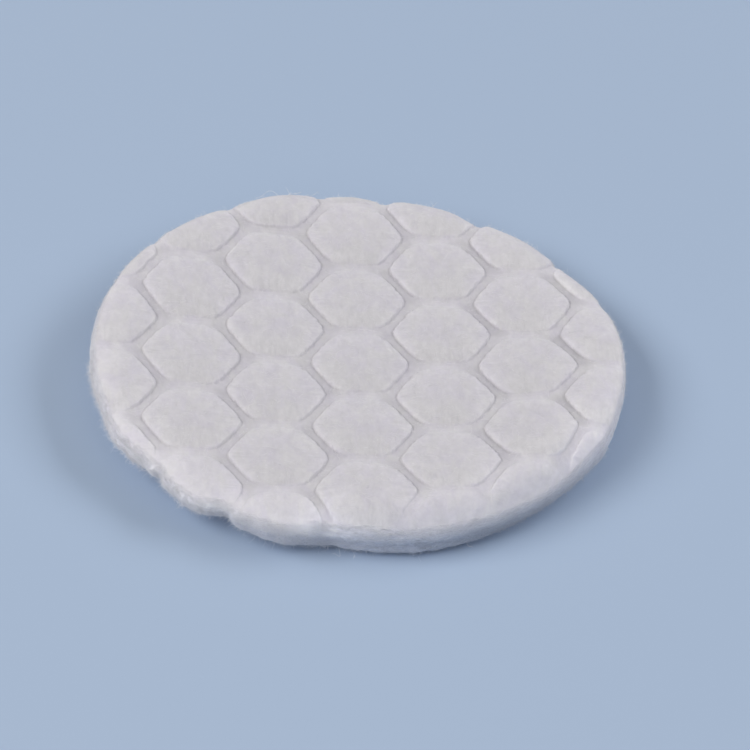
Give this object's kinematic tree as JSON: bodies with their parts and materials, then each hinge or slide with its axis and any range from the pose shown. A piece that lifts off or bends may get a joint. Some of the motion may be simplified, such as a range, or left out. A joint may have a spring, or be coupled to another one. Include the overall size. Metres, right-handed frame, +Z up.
{
  "type": "cotton pad",
  "caption": "Round cotton pad with a honeycomb pressed into its upper skin, a soft cut rim and a slight curl.",
  "frame": {"origin": "centre of the pad's outline, on the surface it lies on", "axes": "+Z up through the embossed skin; the honeycomb's columns run along Y"},
  "size_m": [0.0576, 0.0567, 0.0062],
  "materials": {
    "cotton": "matt, fibrous"
  },
  "bodies": {
    "root": {"cotton_pad": "cotton"}
  },
  "joints": []
}
